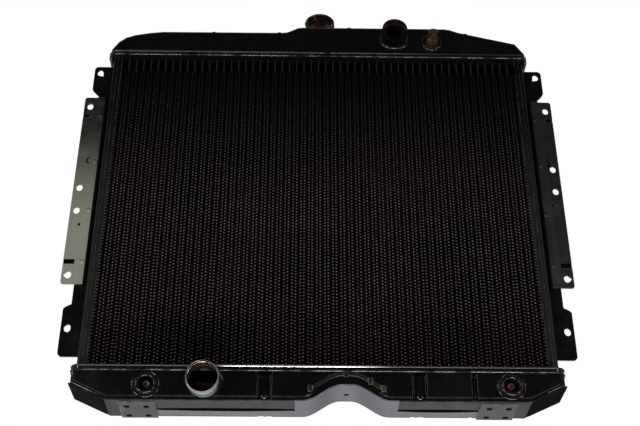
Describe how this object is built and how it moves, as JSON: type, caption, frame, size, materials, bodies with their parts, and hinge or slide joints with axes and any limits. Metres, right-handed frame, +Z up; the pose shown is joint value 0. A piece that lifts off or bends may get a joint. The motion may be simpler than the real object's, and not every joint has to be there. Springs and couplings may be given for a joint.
{
  "type": "car radiator",
  "caption": "Upright soldered tube-and-fin radiator with two pressed tanks, side brackets, hose necks, filler neck, vent cock and an oil cooler in the bottom tank.",
  "frame": {"origin": "middle of the underside, on the plane of the corner plates", "axes": "+Z up, X across the radiator, the hose side faces -Y"},
  "size_m": [0.698, 0.105, 0.6577],
  "materials": {
    "black_paint": "gloss black paint, thin, with rub marks at the edges",
    "grey_paint": "thin dark grey-green paint over sheet steel, satin",
    "copper_core": "copper under a thin coat of black, brown where the coat is thin",
    "bare_copper": "bare copper and brass, tarnished brown",
    "brass": "machined brass, dull",
    "steel": "plain steel"
  },
  "bodies": {
    "radiator": {"top_tank": "black_paint", "top_header": "black_paint", "top_baffle": "bare_copper", "bottom_tank": "black_paint", "bottom_header": "black_paint", "tubes_front": "copper_core", "tubes_middle": "copper_core", "tubes_rear": "copper_core", "fin_strips_left": "copper_core", "fin_strips_middle": "copper_core", "fin_strips_right": "copper_core", "side_channel_left": "black_paint", "side_channel_right": "black_paint", "side_flange_left": "black_paint", "side_flange_right": "black_paint", "side_bracket_left": "grey_paint", "side_bracket_right": "black_paint", "rivets_left": "black_paint", "rivets_right": "black_paint", "upper_hose_neck": "black_paint", "upper_neck_collar": "black_paint", "lower_hose_neck": "black_paint", "lower_neck_collar": "black_paint", "filler_neck": "bare_copper", "filler_flange": "bare_copper", "filler_seat": "brass", "overflow_nipple": "brass", "vent_boss": "black_paint", "vent_body": "brass", "vent_spring": "steel", "cooler_shell": "bare_copper", "cooler_turbulator": "steel", "cooler_port_left": "black_paint", "cooler_port_right": "black_paint", "port_washers": "bare_copper", "bottom_strap_left": "grey_paint", "bottom_strap_right": "grey_paint", "arch_saddle": "grey_paint", "bottom_rail_left": "grey_paint", "bottom_rail_right": "grey_paint", "corner_plate_left": "grey_paint", "corner_plate_right": "grey_paint", "arch_clips": "black_paint"},
    "vent_plug": {"vent_plug": "brass", "vent_clip": "brass"}
  },
  "joints": [
    {"name": "vent_turn", "type": "hinge", "parent": "radiator", "child": "vent_plug", "pos_m": [0.174, -0.03538, 0.5927], "axis": [0, -1, 0], "range_deg": [0, 90]}
  ]
}
